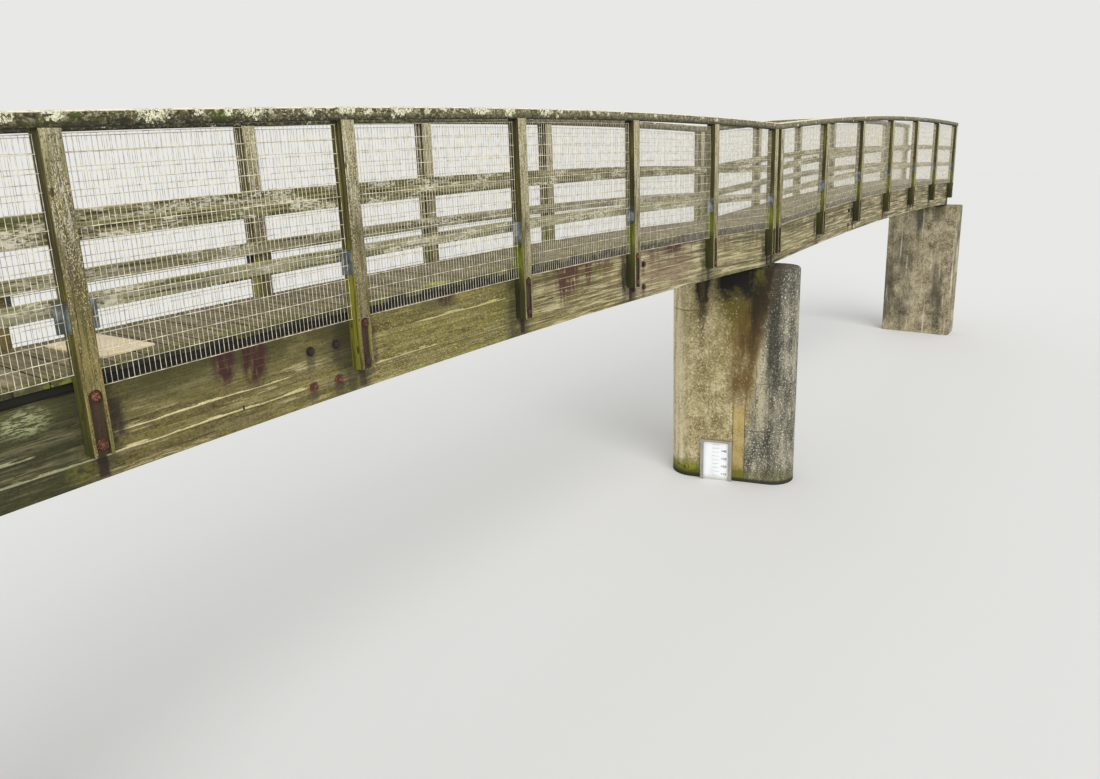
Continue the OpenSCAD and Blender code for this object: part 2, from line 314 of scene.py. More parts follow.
# wet black-green band under the beams, partly algae and partly painted shade from the deck, and a dark
# streak beside it from the top down
low_top = put("ADD", tall_at, put("MULTIPLY", ragged, 0.3))
tone = paint(tone,
    ("#574d16", (low_top, 1.8, 2.15, 0, 0.95), band(along, -0.14, 0.08, 0.12), flecked),
    # black band right under the beams: partly wet algae, partly painted shade
    ("#0d0b03", (low_top, 2.2, 2.38), band(along, -0.26, 0.12, 0.14)),
    ("#171005", blot(here, (-0.285, 0.335, 2.62), (0.6, 0.125, 0.7), put("MULTIPLY", ragged, 0.35), 0.4),
        0.97),
    ("#4a3c1c", band(along, 0.325, 0.355, 0.035), (tall_at, 1.2, 2.1, 0, 0.9), worn),
    ("#605c18", (low_top, 2.36, 2.56, 0, 0.65), band(along, -0.36, -0.26, 0.07),
        patches(here, (16, 16, 10), 0.4, 0.56, 5)))
# made-good strip between two open seams, a crack, and a shutter seam on the near end
foot = put("MapRange", tall_at, 0.99, 0.95)
tone = paint(tone, ("#ae9452", band(along, -0.185, -0.05, 0.004), foot, (fine, 0.4, 0.56, 0.25, 0.85)))
lines = [(along, -0.0475, 0.002, 0, 0.97), (along, -0.1885, 0.002, 0, 0.97),
    (crooked, -0.31, 0.001, 0.7, 1.47), (along, -0.467, 0.001, 0.08, 1.26)]
for across, place, half, low, top in lines:
    tone = paint(tone, ("#2c2410", band(across, place - half, place + half, 0.003),
            band(tall_at, low, top, 0.03), 0.9))
for level, part in ((0.664, near_end), (1.256, near_end), (2.11, right_part)):
    tone = paint(tone, ("#4b4636", band(tall_at, level - 0.002, level + 0.002, 0.004), part, 0.7))
# algae round the foot, then the wet dark line itself
moss = put("MapRange", put("ADD", tall_at, small), 0.22, 0.13)
tone = paint(tone,
    ("#4d4f08", moss, (along, 0.15, 0.4, 0.45, 1)),
    ("#8d8e1c", moss, (along, 0.2, 0.45, 0, 0.9), patches(here, (30, 30, 30), 0.44, 0.56, 5),
        (tall_at, 0.06, 0.12)),
    ("#5f600f", moss, band(along, -0.185, -0.05, 0.02), 0.8),
    ("#211e0f", (tall_at, 0.06, 0.035, 0, 0.9)))
wire(tone, stone, 0.82, 0.97, 0.004, high)
dress(pier, pier_concrete, "concrete", "pier")


# --------
# Bank seats: plain cast concrete blocks under the far ends of the beams, with
# chamfered arrises and one shutter joint.
def block(name, low, high):
    """A cube stretched between two corners."""
    return primitive("cube", name, [b - a for a, b in zip(low, high)], size=1,
        location=[(a + b) / 2 for a, b in zip(low, high)])


bank_concrete, at, tone, stone, high = cast("bank_cast_concrete", "#b8ad90", "#8f8468", "#5a5039")
tone = paint(tone,
    ("#38352a", patches(at, (2.6, 2.6, 0.7), 0.48, 0.62, 6), 0.75),
    ("#cdc7b2", patches(at, (16, 16, 0.9), 0.58, 0.66, 6), 0.6),
    ("#55571c", (put("SeparateXYZ", at, out=2), 2.45, 2.6, 0, 0.7), patches(at, (12, 12, 12), 0.45, 0.6)))
wire(tone, stone, 0.82, 0.97, 0.004, high)
SPANS = ((-1, "left"), (1, "right"))
for side, word in SPANS:
    low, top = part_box(word + "_abutment")
    seat = block(word + "_bank_seat", low, top)
    edit(seat, "EDGE", lambda a, b: abs(a.z - b.z) > 1 or (a.z > 1 and b.z > 1))
    bpy.ops.mesh.bevel(offset=0.02, segments=1)
    for level in (1.3, 1.312):
        bpy.ops.mesh.select_all(action="SELECT")
        bpy.ops.mesh.bisect(plane_co=(0, 0, level), plane_no=(0, 0, 1))
    done()
    edit(seat, "FACE", lambda co, n: 1.3 < co.z < 1.312)
    bpy.ops.mesh.inset(thickness=0.0001, depth=-0.004, use_even_offset=True)
    done()
    dress(seat, bank_concrete, "concrete", word + "_abutment")


# --------
# Bearings: black rubber pads bedded between concrete and beam soles. Moulded
# sheet, dull with dust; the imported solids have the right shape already.
def plain(name, per_metre, detail, stops, smoothest, roughest, depth, **fixed):
    """A material whose one noise sets its colour, its roughness and its bump."""
    made, at = material(name, **fixed)
    grain = put("TexNoise", at, Scale=per_metre, Detail=detail)
    wire(put("ValToRGB", grain, stops=stops), grain, smoothest, roughest, depth)
    return made


# moulded rubber: dark grey under dust, hardly any shine
rubber = plain("bearing_rubber", 35, 4, [(0.35, "#201f1c"), (0.7, "#4a473d")], 0.65, 0.9, 0.001, IOR=1.52)
for word in ("pier_bearings", "left_end_bearings", "right_end_bearings"):
    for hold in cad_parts[word].material_slots:
        hold.material = rubber


# --------
# Beams: glued laminated softwood, bent to the camber before the glue set, so
# every lamination follows the curve. Pressure treated; green with algae, with
# pale splits along the glue lines and rust bleeding from the fixings. Beside
# the posts they are darkened as painted shade.
FACES = [(side, face, f"{word}_{where}") for side, word in SPANS
    for face, where in ((-1, "front"), (1, "back"))]
# the camber's radius at the handrail top, the middle and the ends of a span
ARC_R, MID, BEAM_END, BEAM_FAR = 100, 4.585, 0.005, 9.165
# depths below the handrail top, and the pad's thickness
DROP_SOLE, DROP_BEAM, PAD_T = 1.585, 1.165, 0.025
# half the width over both beams, and a beam's width, middle and inner face
WIDE, BEAM_W = 0.405, 0.11
BEAM_Y, INNER = WIDE - BEAM_W / 2, WIDE - BEAM_W
# the cross members stand this far either side of a point a little off a span's middle, and
# their bolts this far either side of them
CROSS_X, CROSS_SHIFT, BOLT_X = 1.695, 0.042, 0.0875
HALF = (BEAM_FAR - BEAM_END) / 2
SOLE_R = ARC_R - DROP_SOLE
TOP_MID = PIER_TOP + PAD_T + DROP_SOLE + SOLE_R - sqrt(SOLE_R ** 2 - HALF ** 2)
ARC_Z = TOP_MID - ARC_R


def curve_z(x, drop):
    """Height of the camber curve that lies a drop below the handrail top."""
    return ARC_Z + sqrt((ARC_R - drop) ** 2 - (abs(x) - MID) ** 2)


def bent(name, side, y, thick, drop_a, drop_b, arris, steps=48, x_a=BEAM_END, x_b=BEAM_FAR):
    """A member bent to the camber: its section, arrises eased, is spun about the centre of
    the camber and cut plumb at both ends."""
    radius = ARC_R - (drop_a + drop_b) / 2
    reach = asin(((x_b - x_a) / 2 + 0.03) / (ARC_R - drop_b))
    piece = primitive("plane", name, (drop_b - drop_a, thick, 1), size=1, rotation=(0, pi / 2 - reach, 0),
        location=(side * MID - radius * sin(reach), y, ARC_Z + radius * cos(reach)))
    edit(piece, "VERT")
    bpy.ops.mesh.bevel(offset=arris, segments=2, affect="VERTICES")
    bpy.ops.mesh.select_all(action="SELECT")
    bpy.ops.mesh.spin(steps=steps, angle=-2 * reach, center=(side * MID, y, ARC_Z), axis=(0, 1, 0))
    for x, way in ((x_a, -1), (x_b, 1)):
        bpy.ops.mesh.select_all(action="SELECT")
        bpy.ops.mesh.bisect(plane_co=(side * x, 0, 0), plane_no=(side * way, 0, 0), use_fill=True,
            clear_outer=True)
    bpy.ops.mesh.select_all(action="SELECT")
    bpy.ops.mesh.remove_doubles(threshold=0.0001)
    bpy.ops.mesh.normals_make_consistent(inside=False)
    done()
    smooth(piece, 30)
    return piece


def camber_drop(at):
    """Places along and across, the depth below the handrail top curve, and all three as a
    vector, so that a pattern follows the bend."""
    x, y, z = [put("SeparateXYZ", at, out=i) for i in range(3)]
    out_mid = put("SUBTRACT", put("ABSOLUTE", x), MID)
    sag = put("MULTIPLY", put("POWER", out_mid, 2), 0.5 / ARC_R)
    drop = put("SUBTRACT", TOP_MID, put("ADD", z, sag))
    return x, y, drop, put("CombineXYZ", x, y, drop)


BAY, FIRST = 1.5, 0.085


def bay_place(x):
    """Distance along the bridge from the nearest post, positive on the side away from the pier,
    and the post's number."""
    turns = put("ADD", put("DIVIDE", put("ABSOLUTE", x), BAY), 0.5 - FIRST / BAY)
    return put("MULTIPLY", put("SUBTRACT", put("FRACT", turns), 0.5), BAY), put("FLOOR", turns)


def by_place(value, *stops):
    """Colours that change with a length in metres, from rows of a place and its colours."""
    low, high = stops[0][0], stops[-1][0]
    return [put("ValToRGB", (value, low, high),
                stops=[((stop[0] - low) / (high - low), stop[k]) for stop in stops])
            for k in range(1, len(stops[0]))]


glulam, at = material("treated_glulam_spruce")
x, y, drop, flat = camber_drop(at)
# the left end is damp and green, the middle bays are bleached
deep, pale = by_place(x, (-9.2, "#28280a", "#48451f"), (-7.66, "#222208", "#403e15"),
    (-7.5, "#403610", "#80763f"), (-6, "#463b13", "#8a8048"), (-5.3, "#4a4015", "#8f8549"),
    (-4.75, "#3e3a10", "#7b7436"), (-4.45, "#4a4215", "#8d8349"), (-4, "#4f441b", "#9c925c"),
    (-3.4, "#4b421a", "#968b52"), (-3, "#574b2e", "#a89c76"), (-1.8, "#5b4f30", "#ada17a"),
    (-1.4, "#534a22", "#a9a073"), (0.3, "#52492a", "#9a916a"), (9.2, "#484026", "#8b8362"))
# grain streaks 3 to 9 mm tall and up to 0.4 m long, broken by weathered mottling
grain = put("TexNoise", flat, Scale=(4, 60, 120), Detail=6, Roughness=0.66)
mottle = put("TexNoise", flat, Scale=(8, 11, 26), Detail=9, Roughness=0.82)
sand = put("TexNoise", flat, Scale=95, Detail=4, Roughness=0.8)
both = put("ADD", put("MULTIPLY", grain, 0.45), put("ADD", mottle, sand))
tone = paint(deep, (pale, (both, 1.07, 1.38)))
# eleven laminations of 38 mm, jointed end to end every 2.3 m, each board its own tone
LAYER, LAYER_LONG = 0.0382, 2.3
layer = put("MULTIPLY", put("SUBTRACT", drop, DROP_BEAM), 1 / LAYER)
level = put("FLOOR", layer)
piece = put("ADD", put("MULTIPLY", x, 1 / LAYER_LONG), put("MULTIPLY", level, 0.37))
own = put("TexWhiteNoise", put("CombineXYZ", level, put("FLOOR", piece), 0), noise_dimensions="3D")
tone = paint(tone,
    (deep, (own, 0.45, 1, 0, 0.38)),
    (pale, (own, 0.5, 0, 0, 0.3)),
    # bleached streaky patches, mostly low on the beam
    ("#cfc295", patches(flat, (2.5, 6, 18), 0.5, 0.6, 6), patches(flat, (9, 60, 130), 0.48, 0.58, 5),
        (drop, 1.24, 1.36, 0.1, 0.6), (x, -7.6, -7.4, 0.3, 1), (x, -6.1, -5.7, 1, 0.4)),
    ("#bfb15c", band(x, -5.95, -4.75, 0.2), patches(flat, (90, 90, 150), 0.575, 0.62, 3), 0.75))
# beyond the third post the surface is rougher: paler flakes between dark drying cracks
rougher = put("MapRange", x, -4.8, -4.2, 0.15, 1)
tone = paint(tone,
    ("#cfc49c", rougher, patches(flat, (1.5, 5, 34), 0.51, 0.57, 6, 0.62), 0.75),
    ("#43371e", rougher, patches(flat, (1.3, 4, 42), 0.54, 0.58, 6, 0.62), 0.7),
    ("#5b4030", rougher, patches(flat, (13, 4, 2.2), 0.52, 0.6, 5), (drop, 1.42, 1.22, 0, 0.7)),
    # algae and dirt: under the mesh, and round each post, where it is partly painted shade beside the post
    ("#43421a", patches(flat, (2.2, 6, 9), 0.42, 0.58, 6), (drop, 1.42, 1.2, 0, 0.65)),
    ("#37350b", band(x, -7.5, -6.2, 0.12), (drop, 1.36, 1.19, 0, 0.72),
        patches(flat, (3, 8, 10), 0.34, 0.5, 6)))
off_post, post_number = bay_place(x)
luck = put("TexWhiteNoise", post_number, noise_dimensions="1D")
tone = paint(tone,
    # dark green round each post: damp algae and painted shade beside it
    ("#2b2d12", band(off_post, -0.05, 0.1, 0.09), patches(flat, (6, 6, 5), 0.36, 0.56), 0.7),
    ("#2f290f", patches(flat, (60, 60, 170), 0.4, 0.33, 3), 0.7),
    # knots, 10 to 30 mm long
    ("#2b210f", (put("TexVoronoi", flat, Scale=(4.2, 15, 15)), 0.075, 0.04, 0, 0.85)))
# glue lines: fine dark gaps, and long pale splinters where they have opened
gap_at = put("SUBTRACT", put("FRACT", layer), 0.5)
gap_at = put("ABSOLUTE", gap_at)
gap = put("MapRange", gap_at, 0.455, 0.49)
tone = paint(tone, ("#2e2810", gap, patches(flat, (1.3, 5, 30), 0.47, 0.55), 0.8))
bow = put("TexNoise", flat, Scale=(3, 1, 1), Detail=3)
bowed = put("ADD", drop, (bow, 0.3, 0.7, -0.004, 0.004))
torn = put("MapRange", put("TexNoise", flat, Scale=(9, 1, 60), Detail=4), 0.44, 0.64, 0.003, 0.015)
torn = put("ADD", bowed, torn)
# the long splinters: how far below the handrail top, and both ends
splits = None
for place, start, end in ((1.386, -7.48, -6.57), (1.478, -8.1, -6.47), (1.386, -8.02, -7.84),
        (1.462, -5.95, -5.45), (1.285, -5.6, -4.75), (1.44, -4.3, -3.25), (1.36, -2.9, -1.75),
        (1.4, -1.4, -0.2), (1.478, 0.4, 3.2), (1.36, 3.6, 5.8), (1.44, 6.2, 8.8)):
    split = put("MULTIPLY", (bowed, place + 0.006, place + 0.002), (torn, place - 0.001, place + 0.003))
    split = put("MULTIPLY", split, band(x, start, end, 0.02))
    splits = put("MAXIMUM", splits, split) if splits else split
notch = put("MULTIPLY", band(x, -6.85, -6.842, 0.004), band(drop, 1.462, 1.482, 0.003))
tone = paint(tone, ("#2a240e", band(bowed, 1.485, 1.489, 0.003), 0.4))
[worn_pale] = by_place(x, (-9.2, "#a09c78"), (-7.62, "#a09c78"), (-7.45, "#dbce9c"), (-5, "#bdb27e"),
    (9.2, "#b9b088"))
tone = paint(tone,
    (worn_pale, splits, (sand, 0.4, 0.5, 0.55, 0.95)),
    ("#100c04", notch))
# drips: purple-brown iron stain below the foot of each post and below the bolt groups
ragged = put("MapRange", bow, 0.3, 0.7, -0.35, 0.35)
tone = paint(tone,
    ("#241310", band(off_post, -0.04, -0.004, 0.01), band(bowed, 1.44, 1.565, 0.012),
        (luck, 0.2, 0.6, 0.6, 0.95)),
    ("#2c1f18", band(off_post, -0.13, -0.095, 0.03), band(drop, 1.27, 1.42, 0.06),
        patches(flat, (14, 8, 9), 0.36, 0.52), 0.85))
from_mid = put("SUBTRACT", put("ABSOLUTE", x), MID + CROSS_SHIFT)
column = put("ABSOLUTE", put("SUBTRACT", put("ABSOLUTE", from_mid), CROSS_X))
column = band(column, BOLT_X - 0.0175, BOLT_X + 0.0175, 0.022)
for low, high in ((1.3, 1.37), (1.5, 1.55)):
    tone = paint(tone, ("#3a2c20", column, band(drop, low, high, 0.045), 0.6))
# single marks on the front face: dye that ran out of the decking, a painted shadow beside one post, and
# lichen
mark_streaks = patches(flat, (40, 5, 9), 0.34, 0.5, 6)
marks = [("#38150f", -6.915, 1.2, 0.085, 0.19), ("#38150f", -6.765, 1.2, 0.085, 0.16),
    ("#45281b", -4.015, 1.2, 0.12, 0.31), ("#4a2a22", -3.91, 1.2, 0.12, 0.27),
    # the dark mark at -3.165 is a painted shadow beside the post there
    ("#4a2c1e", -3.71, 1.2, 0.05, 0.16), ("#2b2413", -3.165, 1.36, 0.045, 0.2),
    ("#120e06", -4.33, 1.345, 0.055, 0.007), ("#120e06", -4.215, 1.372, 0.045, 0.006),
    ("#3c2418", -5.33, 1.18, 0.1, 0.07), ("#472822", -2.35, 1.19, 0.3, 0.08),
    ("#7b5f50", -2.25, 1.37, 0.7, 0.17)]
for shade, mark_x, mark_drop, long, tall in marks:
    tone = paint(tone, (shade, blot(flat, (mark_x, -WIDE, mark_drop), (long, 0.3, tall), ragged, 0.5), mark_streaks,
            0.5 if long > 0.5 else 1))
tone = paint(tone,
    ("#d8c89a", (gap_at, 0.44, 0.475), rougher, (put("ABSOLUTE", off_post), 0.11, 0.19),
        patches(flat, (2.6, 5, 40), 0.44, 0.52, 5, 0.7), 0.8),
    ("#2b260c", blot(flat, (-6.185, -WIDE, 1.27), (0.2, 0.3, 0.24), ragged, 0.8),
        patches(flat, (8, 10, 20), 0.28, 0.42, 6), 0.85),
    ("#969a70", blot(flat, (-7.86, -WIDE, 1.235), (0.14, 0.3, 0.075), ragged, 0.6),
        patches(flat, (25, 25, 90), 0.48, 0.54, 6, 0.75), 0.9),
    ("#66651a", blot(flat, (-7.66, -WIDE, 1.52), (0.07, 0.3, 0.05), ragged, 0.9),
        patches(flat, (30, 30, 60), 0.42, 0.55), 0.9))
high = put("SUBTRACT", put("ADD", grain, splits), put("MULTIPLY", gap, 0.6))
wire(tone, grain, 0.74, 0.93, 0.003, high)
for side, face, word in FACES:
    beam = bent(word + "_glulam", side, face * BEAM_Y, BEAM_W, DROP_BEAM, DROP_SOLE, 0.006)
    dress(beam, glulam, "glulam", word + "_beam")


# --------
# Cross members: sawn timbers between the beams, held by pairs of galvanised
# steel angle cleats and four bolts through each beam. The bolt heads have
# rusted dark red-brown and sit on round washers.
def twin(source, name, matrix):
    """A copy with its own mesh, moved by a matrix and turned right way out if mirrored."""
    copy = source.copy()
    copy.data = source.data.copy()
    bpy.context.collection.objects.link(copy)
    copy.data.transform(matrix)
    if matrix.determinant() < 0:
        copy.data.flip_normals()
    return named(copy, name)


def joined(name, parts):
    alone(parts[0])
    for part in parts:
        part.select_set(True)
    bpy.ops.object.join()
    return named(parts[0], name)


def gone(*pieces):
    for piece in pieces:
        bpy.data.objects.remove(piece)


def ease(piece, offset, segments=1, test=None):
    """Bevels the edges that pass the test, or all of them."""
    edit(piece, "EDGE", test)
    bpy.ops.mesh.bevel(offset=offset, segments=segments)
    done()


def hex_bolt(name, across, tall, washer_r, washer_t, stub=0):
    """A bolt head or nut on its washer, pointing to -Y from y = 0."""
    parts, y = [], 0
    # the washer, the six-sided head, and the bolt's end beyond a nut
    for sides, radius, depth, arris, steps in ((20, washer_r, washer_t, 0.001, 1),
            (6, across / sqrt(3), tall, 0.003, 2), (12, across * 0.31, stub, 0.0015, 1)):
        if depth:
            parts.append(primitive("cylinder", name, vertices=sides, radius=radius, depth=depth,
                    location=(0, y - depth / 2, 0), rotation=(pi / 2, 0, 0)))
            y -= depth
            ease(parts[-1], arris, steps, lambda a, b: max(a.y, b.y) < y + 0.0005)
    piece = joined(name, parts)
    smooth(piece, 30)
    return piece


def spot(x, y, drop, turn=1):
    """Matrix that moves a piece onto the camber curve, and mirrors it in Y by a turn of -1."""
    return Matrix.Translation((x, y, curve_z(x, drop))) @ Matrix.Diagonal((1, turn, 1, 1))


# hot-dip galvanised steel gone dull: a mottled grey with a soft sheen
zinc, at = material("weathered_galvanised_steel", Metallic=0.55)
flake = put("TexVoronoi", at, Scale=70)
dull = put("TexNoise", at, Scale=14, Detail=4)
tone = put("ValToRGB", dull, stops=[(0.38, "#454b45"), (0.5, "#666c6c"), (0.62, "#8d9296")])
tone = paint(tone, ("#8d908c", patches(at, (30, 30, 30), 0.56, 0.62, 5), 0.5))
wire(tone, dull, 0.42, 0.62, 0.0004, flake)

# rusted steel: red-brown scabs without shine; the upper row of bolts is nearly black
rust, at = material("rusted_bolt_steel")
scab = put("TexNoise", at, Scale=120, Detail=4, Roughness=0.7)
tone = put("ValToRGB", scab, stops=[(0.36, "#150a06"), (0.5, "#4a291a"), (0.62, "#945b40")])
tone = paint(tone,
    ("#241912", patches(at, (3, 3, 9), 0.5, 0.58, 1), 0.65),
    ("#14110c", band(camber_drop(at)[2], 1.255, 1.307, 0.001), 0.85))
wire(tone, scab, 0.7, 0.95, 0.0015)

# rough-sawn pine, pressure treated: a furry matt surface, dull green-brown
sawn = plain("sawn_treated_pine", (60, 2, 60), 5, [(0.3, "#3a3119"), (0.5, "#62552f"), (0.7, "#7d7046")],
    0.78, 0.92, 0.002)
# two members a span, a little off its middle, each with four bolts through either beam
CROSS_T, CROSS_H, CLEAT_T, BOLT_DROPS = 0.075, 0.28, 0.008, (1.281, 1.482)
plain_bolt = hex_bolt("group_bolt", 0.034, 0.015, 0.027, 0.004)
nut_bolt = hex_bolt("group_nut", 0.034, 0.018, 0.027, 0.004, 0.01)
for side, word in SPANS:
    members, bolts = [], []
    for way in (-1, 1):
        x = side * (MID + CROSS_SHIFT + way * CROSS_X)
        low = curve_z(x, (DROP_BEAM + DROP_SOLE) / 2) - CROSS_H / 2
        member = block("member", (x - CROSS_T / 2, -INNER, low), (x + CROSS_T / 2, INNER, low + CROSS_H))
        ease(member, 0.004, 2, lambda a, b: abs(a.y - b.y) > 0.1)
        members.append(member)
        for bolt_x in (x - BOLT_X, x + BOLT_X):
            for drop in BOLT_DROPS:
                for face in (-1, 1):
                    bolts += [twin(plain_bolt, "b", spot(bolt_x, face * WIDE, drop, -face)),
                        twin(nut_bolt, "b", spot(bolt_x, face * (INNER - CLEAT_T), drop, face))]
    dress(joined(word + "_sawn_members", members), sawn, "glulam", word + "_cross_members")
    dress(joined(word + "_member_bolts", bolts), rust, "galvanised_steel")
    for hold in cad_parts[word + "_cleats"].material_slots:
        hold.material = zinc
gone(plain_bolt, nut_bolt)


# --------
# Packing strips: tarred battens on top of the beams that lift the boards clear
# of them. Set back, always damp and in shade; their near-black colour is partly
# painted shade.
tarred_shaded = plain("tarred_shaded_batten", (3, 40, 40), 5, [(0.35, "#080704"), (0.6, "#15130b"), (0.75, "#242110")],
    0.7, 0.9, 0.001)
STRIP_W, DROP_STRIP = 0.06, 1.118
for side, word in SPANS:
    strips = [bent("strip", side, face * BEAM_Y, STRIP_W, DROP_STRIP, DROP_BEAM, 0.002, 40)
        for face in (-1, 1)]
    dress(joined(word + "_packing_strips", strips), tarred_shaded, "packing_timber", word + "_deck_strips")


# --------
# Deck: planed softwood boards laid square across both beams with open joints and
# two screws over each batten. Worn grey-brown; the edge under the parapet is mossy.
# a board's thickness, boards in a span, the joint between two, and how far the deck lies
# below the handrail top
BOARD_T, BOARDS, GAP, DROP_DECK = 0.033, 63, 0.006, 1.085
PITCH = (BEAM_FAR - BEAM_END + GAP) / BOARDS
CUT_W = PITCH - GAP
deck_wood, at = material("worn_softwood_decking")
x, y, drop, flat = camber_drop(at)
number = put("FLOOR", put("MULTIPLY", x, 1 / PITCH))
shift = put("TexWhiteNoise", number, noise_dimensions="1D")
slid = put("ADD", put("MULTIPLY", y, 2.5), put("MULTIPLY", shift, 40))
along = put("CombineXYZ", put("MULTIPLY", x, 60), slid, 0)
grain = put("TexNoise", along, Scale=1, Detail=6, Roughness=0.66)
tone = put("ValToRGB", grain, stops=[(0.36, "#463c22"), (0.48, "#807453"), (0.62, "#afa27c")])
tone = paint(tone,
    ("#6c634a", (shift, 0.3, 1, 0, 0.5)),
    ("#9d947a", (shift, 0.3, 0, 0, 0.4)))
# trodden-in dirt, worst along the joints and at the far edge
place = put("MULTIPLY", put("ADD", put("ABSOLUTE", x), GAP / 2 - BEAM_END), 1 / PITCH)
place = put("SUBTRACT", put("FRACT", place), 0.5)
luck = put("TexWhiteNoise", put("ROUND", put("MULTIPLY", x, 1 / PITCH)), noise_dimensions="1D")
tone = paint(tone,
    ("#211c10", (put("ABSOLUTE", place), 0.45, 0.485, 0, 0.95), (luck, 0.4, 0.6, 0.35, 1)),
    ("#4a432c", patches(at, (9, 14, 9), 0.52, 0.64, 7, 0.7), 0.6))
side_at = put("ABSOLUTE", y)
edge = put("MapRange", side_at, 0.25, 0.37)
tone = paint(tone,
    ("#4f4c20", edge, patches(at, (10, 10, 10), 0.36, 0.52, 6, 0.7), 0.9),
    ("#8b9436", edge, patches(at, (16, 26, 16), 0.54, 0.6, 7, 0.7), 0.9))
bright_moss = blot(flat, (-5.36, -0.35, DROP_DECK), (0.13, 0.06, 0.3), (grain, 0.3, 0.7, -0.4, 0.4), 0.5)
tone = paint(tone,
    ("#b5c040", bright_moss, patches(at, (60, 60, 60), 0.4, 0.54, 5), 0.95),
    # the sawn ends hang over the strips; they are painted nearly black
    ("#131109", (side_at, 0.3995, 0.403), (x, -7.72, -7.62, 0.72, 0.93)))
wire(tone, grain, 0.75, 0.93, 0.002)

board = block("board", (-CUT_W / 2, -WIDE, 0), (CUT_W / 2, WIDE, BOARD_T))
ease(board, 0.003, 2)
smooth(board, 40)
screw = primitive("cylinder", "screw", vertices=8, radius=0.0055, depth=0.003)
ease(screw, 0.0015, 1, lambda a, b: min(a.z, b.z) > 0.001)
# sawn and dried timber: a board is up to 1.2 % short or narrow and 5 % thin
draw = random.Random(7)
for side, word in SPANS:
    boards, screws = [], []
    for i in range(BOARDS):
        x = BEAM_END + CUT_W / 2 + i * PITCH
        lay = spot(side * x, 0, DROP_STRIP) @ Matrix.Rotation(asin((x - MID) / ARC_R) * side, 4, "Y")
        shrunk = [1 - draw.uniform(0, most) for most in (0.012, 0.012, 0.05)]
        boards.append(twin(board, "b", lay @ Matrix.Diagonal((*shrunk, 1))))
        for y in (-BEAM_Y, BEAM_Y):
            for dx in (-0.042, 0.042):
                askew = (dx + draw.uniform(-0.004, 0.004), y + draw.uniform(-0.006, 0.006), BOARD_T - 0.001)
                screws.append(twin(screw, "s", lay @ Matrix.Translation(askew)))
    dress(joined(word + "_decking", boards), deck_wood, "deck_timber", word + "_deck_boards")
    dress(joined(word + "_deck_screws", screws), rust, "galvanised_steel")
gone(board)


# --------
# Repair sheet: a thin offcut of plywood laid askew over two worn boards near the
# left end of the walkway. Still pale and clean beside them.
ply = plain("weathered_plywood", (8, 60, 60), 5, [(0.3, "#e6cc94"), (0.5, "#ffecc4"), (0.7, "#fff8e0")],
    0.6, 0.8, 0.0005)
# its place along the span, its size, and its turn in degrees
SHEET_X, SHEET_LONG, SHEET_WIDE, SHEET_T, ASKEW = 7.315, 0.51, 0.255, 0.012, 4
sheet = block("repair_sheet", (-SHEET_WIDE / 2, -SHEET_LONG / 2, 0),
    (SHEET_WIDE / 2, SHEET_LONG / 2, SHEET_T))
ease(sheet, 0.002, 2)
sheet.data.transform(spot(-SHEET_X, 0, DROP_DECK) @ Matrix.Rotation(-asin((SHEET_X - MID) / ARC_R), 4, "Y")
    @ Matrix.Rotation(radians(ASKEW), 4, "Z"))
smooth(sheet, 40)
dress(sheet, ply, "sheet_timber", "deck_patch")


# --------
# Posts: planed 90 mm softwood bolted to the outside of the beams, with eased
# arrises. A slot is routed up from the foot over the two bolts so that the
# washers sit below the face.
def modify(piece, kind, **words):
    """Adds a modifier, sets it and applies it."""
    alone(piece)
    extra = piece.modifiers.new(kind, kind)
    for key, value in words.items():
        setattr(extra, key, value)
    bpy.ops.object.modifier_apply(modifier=extra.name)


# posts a side, their width, and how far their tops, feet and bolts lie below the handrail top
POSTS, POST, DROP_RAIL, DROP_POST, POST_BOLTS = 7, 0.09, 0.067, 1.451, (1.18, 1.4)
POST_Y = WIDE + POST / 2
post_wood, at = material("weathered_post_softwood")
x, y, drop, _ = camber_drop(at)
_, post_number = bay_place(x)
luck = put("TexWhiteNoise", put("CombineXYZ", post_number, put("SIGN", x), put("SIGN", y)),
    noise_dimensions="3D")
facing = put("ABSOLUTE", put("SeparateXYZ", put("TexCoord", out=1), out=0))
flank = put("MapRange", facing, 0.45, 0.8)
# upright grain, 3 to 6 mm
grain = put("TexNoise", at, Scale=(130, 130, 4), Detail=6, Roughness=0.66)
deep, pale = by_place(drop, (0, "#5a5335", "#a8a27a"), (0.6, "#33290f", "#655a32"),
    (1.45, "#362a06", "#635520"))
tone = paint(deep,
    (pale, (grain, 0.34, 0.66)),
    # bleached flakes of surface, 3 x 6 mm, and dark dots between; grey streaks high up
    ("#cdc8ba", patches(at, (110, 110, 9), 0.5, 0.6, 5), (drop, 0.85, 0.35, 0, 0.7),
        patches(at, (20, 20, 3), 0.4, 0.56, 4)),
    ("#c9bf9c", (x, -7.2, -4.6, 0, 0.5), patches(at, (60, 60, 5), 0.4, 0.58, 5)),
    ("#e6daae", patches(at, (240, 240, 110), 0.54, 0.59, 3), (drop, 0.2, 1.1, 0.9, 0.3),
        patches(at, (22, 22, 3.5), 0.36, 0.54, 5)),
    ("#3a2d10", patches(at, (150, 150, 80), 0.44, 0.39, 3), 0.8),
    ("#6b6a2a", patches(at, (18, 18, 3), 0.5, 0.62, 5), (drop, 0.5, 1.3, 0.1, 0.6)),
    ("#a5955a", (x, -7.3, -7.1, 0.45, 0), (drop, 0.7, 1), patches(at, (90, 90, 7), 0.4, 0.54, 5)))
